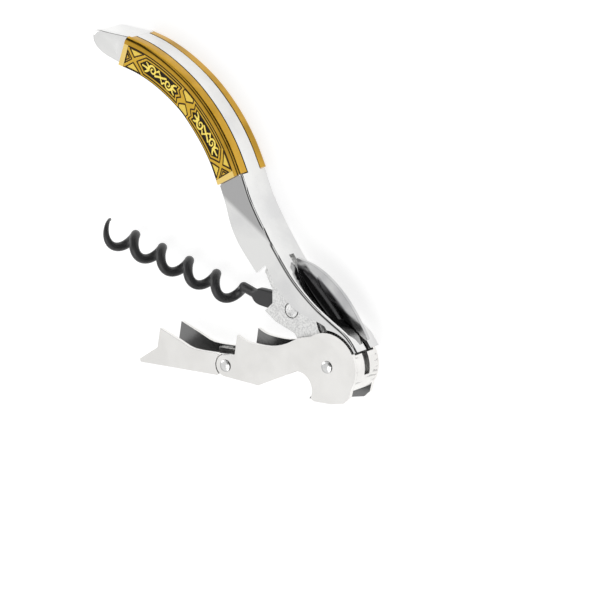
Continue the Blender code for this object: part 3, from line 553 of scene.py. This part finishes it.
ornament = dict(
    lineWidth=0.17, groove=0.14, groundDepth=0.22, halfLength=21.9, width=6.0, endGap=0.06,
    # border is a painted shadow along the plate's long edges where it meets the rim, fading over this
    # distance in mm; the skirt's tone is painted shade on the plate's edge walls
    border=(0.12, 0.28),
    brightTone=0.9, plainTone=0.78, lineTone=0.16, groundTone=0.03, skirtShadeTone=0.2,
    # one half of the plate, along from its middle and across from its centre line, in mm
    cartouche=[(2.1, 0.0), (3.3, -1.05), (2.8, -2.3), (15.6, -2.3),
               (18.3, 0.0), (15.6, 2.3), (2.8, 2.3), (3.3, 1.05)],
    ground=[(3.0, 0.0), (4.0, -0.8), (3.65, -1.74), (15.3, -1.74),
            (17.25, 0.0), (15.3, 1.74), (3.65, 1.74), (4.0, 0.8)],
    pentagon=[(-1.75, 2.8), (1.75, 2.8), (2.05, 1.85), (0.0, 0.38), (-2.05, 1.85)],
    corner=[(16.6, 2.72), (21.3, 2.72), (19.35, 0.75)],
    endTriangles=[[(21.8, -1.75), (21.8, 1.75), (20.0, 0.0)], [(21.8, -1.05), (21.8, 1.05), (20.75, 0.0)]],
)


def scrollLines():
    # (line, width at its start, width at its end) for one cartouche: two facing coils, stems and leaves
    return [
        (spiral(7.1, 0.15, 200, -1.3, 1.38, 0.3), 0.34, 0.20),
        (spiral(12.9, -0.15, 20, -1.3, 1.38, 0.3), 0.34, 0.20),
        ([(5.75, -0.3), (5.2, -1.0), (4.5, -1.3)], 0.32, 0.14),
        ([(5.75, -0.1), (5.0, 0.0), (4.3, 0.0)], 0.34, 0.16),
        ([(5.75, 0.2), (5.2, 0.95), (4.6, 1.25)], 0.32, 0.14),
        ([(8.2, -0.75), (9.2, -0.3), (10.0, 0.0), (10.8, 0.3), (11.8, 0.75)], 0.32, 0.32),
        ([(9.0, 1.2), (9.7, 0.55), (10.0, 0.0), (10.3, -0.55), (11.0, -1.2)], 0.24, 0.24),
        ([(8.5, 0.6), (9.2, 1.25)], 0.26, 0.14),
        ([(11.5, -0.6), (10.8, -1.25)], 0.26, 0.14),
        ([(14.2, 0.3), (14.8, 1.0), (15.2, 1.25)], 0.32, 0.14),
        ([(14.2, 0.1), (15.2, 0.05), (16.3, 0.0)], 0.34, 0.14),
        ([(14.2, -0.1), (14.7, -0.9), (15.2, -1.2)], 0.30, 0.14),
    ]


def ornamentField(along, across):
    # tone and depth over the plate; the pattern is the same on both sides of the plate's middle
    x, y = np.abs(along), across
    closed = lambda points: points + points[:1]
    lines = [closed(ornament["cartouche"])]
    bright = np.zeros(x.shape, bool)
    for flip in (1, -1):
        for shape in (ornament["pentagon"], ornament["corner"]):
            points = [(px, py * flip) for px, py in shape]
            lines.append(closed(points))
            bright |= insidePolygon(x, y, points)
    lines += [closed(points) for points in ornament["endTriangles"]]
    width = ornament["lineWidth"]
    nearLine = np.min([lineDistance(x, y, points) for points in lines], axis=0)
    line = 1 - smoothSteps(width * 0.6, width * 1.35, nearLine)
    ground = insidePolygon(x, y, ornament["ground"])
    toEdge = lineDistance(x, y, closed(ornament["ground"]))
    groundMask = np.where(ground, smoothSteps(0.0, 0.1, toEdge), 0)
    scroll = np.zeros(x.shape)
    for points, startWidth, endWidth in scrollLines():
        for i, (a, b) in enumerate(zip(points, points[1:])):
            wide = startWidth + (endWidth - startWidth) * i / len(points)
            away = lineDistance(x, y, [a, b])
            scroll = np.maximum(scroll, 1 - smoothSteps(wide - 0.07, wide + 0.05, away))
    tone = np.where(bright, ornament["brightTone"], ornament["plainTone"])
    tone = tone * (1 - line) + ornament["lineTone"] * line
    scrollTone = ornament["groundTone"] + (1 - ornament["groundTone"]) * scroll
    tone = tone * (1 - groundMask) + groundMask * scrollTone
    depth = ornament["groove"] * line
    depth = np.maximum(depth, ornament["groundDepth"] * groundMask * (1 - scroll))
    return tone, depth


def makeOrnament(side, sign):
    # a sheet whose top follows the relief's depth at each place, closed round its edge and underneath
    start = grip["endGap"] + grip["endBand"] + ornament["endGap"]
    run = np.linspace(start, gripRun - start, 620)
    depth = np.linspace(grip["rim"] + grip["plateGap"], grip["depth"] - grip["plateGap"], 92)
    runGrid, depthGrid = np.meshgrid(run, depth, indexing="ij")
    halfLength = (run[-1] - run[0]) / 2
    along = (runGrid - run.mean()) / halfLength * ornament["halfLength"]
    across = (depthGrid - depth.mean()) / (depth[-1] - depth[0]) * ornament["width"]
    tone, sunk = ornamentField(along, across)
    border = np.minimum(depthGrid - depth[0], depth[-1] - depthGrid)
    # painted shadow: the tone is darker close to the plate's long edges
    borderShade = 1 - smoothSteps(*ornament["border"], border)
    tone = tone * (1 - borderShade * 0.9)
    top = grip["halfThickness"] - 0.04 - sunk
    level = top * sign
    floorLevel = np.full_like(level, (grip["floorLevel"] + 0.02) * sign)
    upper = gripPoint(runGrid, depthGrid, level)
    lower = gripPoint(runGrid, depthGrid, floorLevel)
    rows, columns = runGrid.shape
    number = np.arange(rows * columns).reshape(rows, columns)
    rim = np.concatenate([number[0, :-1], number[:-1, -1], number[-1, :0:-1], number[:0:-1, 0]])
    skirtPoints = lower.reshape(-1, 3)[rim]
    edgeNumber = np.arange(len(rim)) + rows * columns
    skirt = np.stack([rim, np.roll(rim, -1), np.roll(edgeNumber, -1), edgeNumber], axis=-1)
    points = np.concatenate([upper.reshape(-1, 3), skirtPoints])
    quads = np.concatenate([gridFaces(rows, columns, False), skirt[:, ::-1]])
    longSide = rows - 1 + columns - 1
    nearRow = edgeNumber[columns - 1:longSide + 1]
    farRow = np.concatenate([edgeNumber[:1], edgeNumber[:longSide + columns - 2:-1]])
    bottom = np.stack([nearRow[:-1], nearRow[1:], farRow[1:], farRow[:-1]], axis=-1)
    plate = buildMesh(f"reliefPlate{side}", points, np.concatenate([quads, bottom[:, ::-1]]))
    # the plate's edge walls get a dark tone: painted shade in the gap to the rim
    toneValues = np.concatenate([tone.ravel(), np.full(len(rim), ornament["skirtShadeTone"])]).astype(np.float32)
    attribute = plate.data.attributes.new("tone", "FLOAT", "POINT")
    attribute.data.foreach_set("value", toneValues)
    shade(plate, 60)
    mount(plate, "body", enamelledGold, [f"ornament_plate_{side.lower()}"])


for side, sign in (("Left", 1), ("Right", -1)):
    makeBezel(side, sign)
    makeOrnament(side, sign)
print("grip made")

# handle tip
tip = dict(
    nose=[(107.4, -5.1), (110.1, -2.7), (110.8, -1.1), (110.1, 0.4), (107.8, 1.3), (104.1, 0.6)],
    underGrip=1.0, halfThickness=5.42, round=0.95, rimShare=0.86, dish=0.30, swell=1.006,
    middle=(105.2, -3.4),
    # the shell's end is drawn in to this share of its size, about this place
    tuckFrom=0.25, tuckShare=0.8, tuckMiddle=(103.2, -4.4, 0),
)


def tipLine():
    # side outline of the tip, from under the end of the grip's back round the nose to the grip's front,
    # and the direction in which it leaves the grip
    backEnd, frontEnd = backKnots[-1], frontKnots[-1]
    across = (frontEnd - backEnd) / np.linalg.norm(frontEnd - backEnd)
    outward = np.array([across[1], -across[0]])
    inset = outward * tip["underGrip"]
    knots = np.array([backEnd - inset, backEnd, *tip["nose"], frontEnd, frontEnd - inset])
    return knots, outward


def makeTip():
    # rings from the middle of one dished side, over the rounded rim and across to the other side; each
    # ring is the outline drawn in towards the middle
    knots = tipLine()[0]
    curve = curveThrough(knots, np.linspace(0, len(knots) - 1, 160))
    closing = knots[-1] + (knots[0] - knots[-1]) * np.linspace(0, 1, 22)[1:-1, None]
    outline = np.concatenate([curve, closing])
    middle = np.array(tip["middle"])
    radius = np.linalg.norm(outline - middle, axis=1)
    height, bend = tip["halfThickness"], tip["round"]
    share = np.linspace(0.02, 1, 22)
    rimShare = tip["rimShare"] - bend / radius.mean()
    dishLevel = height - tip["dish"] * (1 - share**2) ** 2
    turn = np.linspace(0, math.pi / 2, 10)
    inward = np.concatenate([share * rimShare, 1 - bend / radius.mean() * (1 - np.sin(turn))])
    level = np.concatenate([dishLevel, height - bend * (1 - np.cos(turn))])
    inward, level = np.concatenate([inward, inward[::-1]]), np.concatenate([level, -level[::-1]])
    flat = middle + (outline - middle)[None] * inward[:, None, None] * tip["swell"]
    grid = np.concatenate([flat, np.broadcast_to(level[:, None, None], (*flat.shape[:2], 1))], axis=-1)
    nose = sweptGrid("handleTip", grid * mm + pivot)
    shade(nose, 60)
    mount(nose, "body", metals["polishedTip"])


makeTip()
print("tip made")

# worm
wormShape = dict(
    angle=31.6, eyeRadius=3.0, eyeThick=1.3, eyeBack=-0.45, waistHalf=2.5, shankEnd=12.6, shankLift=1.9,
    shankHalf=2.3, neckHalf=2.1, bend=(2.6, 0.1, -0.25), offset=4.4, wire=1.3, outer=3.8, pitch=9.25,
    turns=5.1, start=18.9, phase=200.0, taper=8.0, point=0.1, flare=0.4, flatCorners=5.0, roundCorners=2.0,
)


def wormCentre():
    # points along the wire's middle, and its half width, half thickness and squareness there; the first
    # stretch is the flat shank, and then the middle winds round its axis while it moves along it
    shape = wormShape
    helixRadius = shape["outer"] - shape["wire"]
    total = shape["turns"]
    turnsAt = np.linspace(0, total, 420)
    phase = math.radians(shape["phase"]) + 2 * math.pi * turnsAt
    thin = np.clip((total - turnsAt) * shape["pitch"] / shape["taper"], 0, 1)
    reach = helixRadius + 2 * shape["wire"] * shape["flare"] * (1 - thin)
    helix = np.stack([shape["start"] + shape["pitch"] * turnsAt, shape["offset"] + reach * np.cos(phase),
                      reach * np.sin(phase)], axis=-1)
    size = shape["wire"] * np.maximum(np.sin(thin * math.pi / 2), shape["point"])
    x, y = shape["shankEnd"], shape["shankLift"]
    shankTip = np.array([x, y, 0])
    knots = np.array([[-shape["eyeRadius"], shape["eyeBack"], 0], [0, 0, 0], shankTip / 2, shankTip,
                      shankTip + shape["bend"], helix[0], helix[6]])
    lead = curveThrough(knots, np.linspace(0, 5, 90)[:-1])
    along = np.linspace(0, 5, 90)[:-1]
    eye = np.clip(along, 0, 1)
    # along counts the knots: the eye ends at 1, the shank at 3 and the round wire starts before 4
    widths = [shape[key] for key in ("eyeRadius", "waistHalf", "shankHalf", "neckHalf", "wire", "wire")]
    halfWidth = np.interp(along, [1, 2, 2.9, 3.15, 3.7, 5], widths)
    roundEye = shape["eyeRadius"] * np.sqrt(np.clip(1 - (1 - eye) ** 2, 0.004, 1))
    halfWidth = np.where(along < 1, roundEye, halfWidth)
    halfThick = np.full_like(along, shape["eyeThick"])
    flatCorners, roundCorners = shape["flatCorners"], shape["roundCorners"]
    square = np.interp(along, [0, 3.1, 3.9], [flatCorners, flatCorners, roundCorners])
    pairs = [(lead, helix), (halfWidth, size), (halfThick, size), (square, np.full(len(size), roundCorners))]
    return [np.concatenate(pair) for pair in pairs]


def makeWorm():
    # a rounded-box section that turns into a circle, carried along the middle line
    middle, wide, thick, square = wormCentre()
    forward = np.gradient(middle, axis=0)
    forward /= np.linalg.norm(forward, axis=1)[:, None]
    up = np.tile([0.0, 0.0, 1.0], (len(middle), 1))
    sideways = np.cross(up, forward)
    sideways /= np.linalg.norm(sideways, axis=1)[:, None]
    up = np.cross(forward, sideways)
    around = np.linspace(0, 2 * math.pi, 33)[:-1]
    power = 2 / square[:, None]
    c = np.sign(np.cos(around)) * np.abs(np.cos(around)) ** power
    s = np.sign(np.sin(around)) * np.abs(np.sin(around)) ** power
    grid = (middle[:, None] + sideways[:, None] * (wide[:, None] * c)[..., None]
            + up[:, None] * (thick[:, None] * s)[..., None])
    turned = Matrix.Rotation(math.radians(wormShape["angle"]), 3, "Z")
    grid = grid @ np.array(turned).T * mm + np.array(joints["worm_pivot"]["pos_m"])
    screw = sweptGrid("screwWorm", grid)
    shade(screw, 50)
    mount(screw, "worm", blackCoating, ["worm"])


makeWorm()
print("worm made")


# sheet-metal pieces: welded copies with softened edges
def softened(node, name, body, material, width, degrees=30, segments=3):
    source = frame["nodes"][node]
    mesh = source.data.copy()
    mesh.name = name
    bm = bmesh.new()
    bm.from_mesh(mesh)
    bmesh.ops.remove_doubles(bm, verts=bm.verts, dist=0.004 * mm)
    bmesh.ops.dissolve_limit(bm, angle_limit=0.004, verts=bm.verts, edges=bm.edges)
    bm.to_mesh(mesh)
    bm.free()
    piece = bpy.data.objects.new(name, mesh)
    bpy.context.scene.collection.objects.link(piece)
    shade(piece, degrees)
    bevel = piece.modifiers.new("edges", "BEVEL")
    bevel.width = width * mm
    bevel.segments = segments
    bevel.limit_method = "ANGLE"
    bevel.angle_limit = math.radians(degrees)
    bevel.harden_normals = True
    bevel.use_clamp_overlap = True
    mount(piece, body, material, [node])
    return piece


softened("lever_stage_1", "firstLever", "first_lever", metals["satinLever"], 0.16)
softened("lever_stage_2", "secondLever", "second_lever", metals["satinLever"], 0.16)
softened("inner_frame", "innerFrame", "body", metals["blastedFrame"], 0.12)
softened("blade", "foilKnife", "blade", metals["knifeSteel"], 0.10)
shell = softened("body_shell", "handleShell", "body", metals["polishedShell"], 0.06)


def tuckTipIn(piece):
    # draws the end of the shell inside the rounded tip that covers it
    outward = tipLine()[1]
    points = np.zeros(len(piece.data.vertices) * 3, np.float32)
    piece.data.vertices.foreach_get("co", points)
    points = (points.reshape(-1, 3) - pivot) / mm
    beyond = (points[:, :2] - backKnots[-1]) @ outward > tip["tuckFrom"]
    middle = np.array(tip["tuckMiddle"])
    points[beyond] = middle + (points[beyond] - middle) * tip["tuckShare"]
    piece.data.vertices.foreach_set("co", (points * mm + pivot).astype(np.float32).ravel())
    piece.data.update()


tuckTipIn(shell)
print("sheet metal made")

# the rest keeps its own mesh
plainFinishes = {
    "rivetSteel": ["lever_pivot_rivet", "stage_hinge_rivet_left", "stage_hinge_rivet_right"],
    "blastedFrame": ["worm_rivet"],
    "plainPins": ["grip_pin_left_1", "grip_pin_left_2", "grip_pin_right_1", "grip_pin_right_2",
                  "worm_spacer_left", "worm_spacer_right", "pivot_spacer_left", "pivot_spacer_right",
                  "back_spring", "spring_pin"],
}
for finish, nodes in plainFinishes.items():
    for node in nodes:
        obj = frame["nodes"][node]
        obj.data.materials.clear()
        obj.data.materials.append(metals[finish])
print("small pieces finished")

# floor, light and camera
studio = dict(
    azimuth=-21.0, elevation=52.6, roll=108.3, distance=1.3, viewWidth=156.9,
    pivotAside=10.1, pivotBelow=16.5, floorTone=(0.42, 0.42, 0.42), floorGlow=0.78, worldPower=0.95,
    floorHalf=1.6, floorFlat=0.9, floorCurl=0.25, floorDrop=0.00005,
    byHeight=[(0.0, 0.3), (0.1, 0.35), (0.3, 0.8), (0.6, 1.0), (1.0, 1.0)],
    bySide=[(0.0, 0.10), (0.11, 0.07), (0.135, 0.95), (0.22, 0.95),
            (0.25, 0.05), (0.41, 0.08), (0.5, 0.9), (1.0, 1.0)],
)


def makeFloor():
    # a wide sheet that stays flat under the object and curls up with the square of the distance past that
    span = np.linspace(-studio["floorHalf"], studio["floorHalf"], 41)
    x, y = np.meshgrid(span, span, indexing="ij")
    far = np.clip(np.hypot(x, y) - studio["floorFlat"], 0, None)
    height = far**2 * studio["floorCurl"] - studio["floorDrop"]
    points = np.stack([x, y, height], axis=-1).reshape(-1, 3)
    faces = gridFaces(len(span), len(span), False)
    mesh = bpy.data.meshes.new("studioFloor")
    mesh.from_pydata(points.tolist(), [], faces.tolist())
    floor = bpy.data.objects.new("studioFloor", mesh)
    bpy.context.scene.collection.objects.link(floor)
    material = bpy.data.materials.new("paleFloor")
    material.use_nodes = True
    shader = material.node_tree.nodes["Principled BSDF"]
    shader.inputs["Base Color"].default_value = (*studio["floorTone"], 1)
    shader.inputs["Roughness"].default_value = 0.9
    shader.inputs["Specular IOR Level"].default_value = 0.1
    shader.inputs["Emission Color"].default_value = (1, 1, 1, 1)
    shader.inputs["Emission Strength"].default_value = studio["floorGlow"]
    mesh.materials.append(material)
    shade(floor)


def makeLight(name, place, size, power):
    # a soft panel turned towards the object
    data = bpy.data.lights.new(name, "AREA")
    data.shape = "RECTANGLE"
    data.size, data.size_y = size
    data.energy = power
    lamp = bpy.data.objects.new(name, data)
    lamp.location = place
    lamp.rotation_euler = (-Vector(place)).to_track_quat("-Z", "Y").to_euler()
    bpy.context.scene.collection.objects.link(lamp)


def addRamp(tree, stops):
    ramp = addNode(tree, "ShaderNodeValToRGB")
    elements = ramp.color_ramp.elements
    elements[0].position, elements[0].color = stops[0][0], (*[stops[0][1]] * 3, 1)
    elements[1].position, elements[1].color = stops[-1][0], (*[stops[-1][1]] * 3, 1)
    for place, tone in stops[1:-1]:
        elements.new(place).color = (tone, tone, tone, 1)
    return ramp


def makeWorld():
    # a bright room, dimmer towards the horizon, with two dark strips behind the handle's back for the
    # polished metal to show: brightness = byHeight(z) * bySide((y + 1) / 2)
    world = bpy.data.worlds.new("softStudio")
    world.use_nodes = True
    tree = world.node_tree
    background = tree.nodes["Background"]
    background.inputs["Strength"].default_value = studio["worldPower"]
    coords = addNode(tree, "ShaderNodeTexCoord")
    split = addNode(tree, "ShaderNodeSeparateXYZ")
    side = addNode(tree, "ShaderNodeMapRange")
    side.inputs["From Min"].default_value = -1.0
    byHeight, bySide = addRamp(tree, studio["byHeight"]), addRamp(tree, studio["bySide"])
    both = addNode(tree, "ShaderNodeMix", data_type="RGBA", blend_type="MULTIPLY")
    both.inputs["Factor"].default_value = 1.0
    link = tree.links.new
    link(coords.outputs["Generated"], split.inputs["Vector"])
    link(split.outputs["Z"], byHeight.inputs["Fac"])
    link(split.outputs["Y"], side.inputs["Value"])
    link(side.outputs["Result"], bySide.inputs["Fac"])
    link(byHeight.outputs["Color"], both.inputs["A"])
    link(bySide.outputs["Color"], both.inputs["B"])
    link(both.outputs["Result"], background.inputs["Color"])
    bpy.context.scene.world = world


def makeCamera():
    # the pivot is held a little to the right of and below the middle of the view, and the camera is rolled
    azimuth, elevation = math.radians(studio["azimuth"]), math.radians(studio["elevation"])
    roll = math.radians(studio["roll"])
    back = Vector((math.sin(azimuth) * math.cos(elevation), -math.cos(azimuth) * math.cos(elevation),
                   math.sin(elevation)))
    right = Vector((math.cos(azimuth), math.sin(azimuth), 0))
    up = back.cross(right)
    shownRight = right * math.cos(roll) - up * math.sin(roll)
    shownUp = right * math.sin(roll) + up * math.cos(roll)
    target = Vector(pivot) - shownRight * studio["pivotAside"] * mm + shownUp * studio["pivotBelow"] * mm
    data = bpy.data.cameras.new("studioCamera")
    data.sensor_width = 36
    data.lens = data.sensor_width * studio["distance"] / (studio["viewWidth"] * mm)
    camera = bpy.data.objects.new("studioCamera", data)
    turned = Matrix((shownRight, shownUp, back)).transposed().to_4x4()
    camera.matrix_world = Matrix.Translation(target + back * studio["distance"]) @ turned
    bpy.context.scene.collection.objects.link(camera)
    bpy.context.scene.camera = camera


makeFloor()
makeWorld()
makeCamera()
makeLight("keyPanel", place=(-0.25, 0.15, 0.6), size=(0.5, 0.5), power=1.0)
makeLight("sidePanel", place=(0.5, 0.3, 0.3), size=(0.3, 0.4), power=0.6)
bpy.context.scene.view_settings.view_transform = "Standard"
print("studio made")
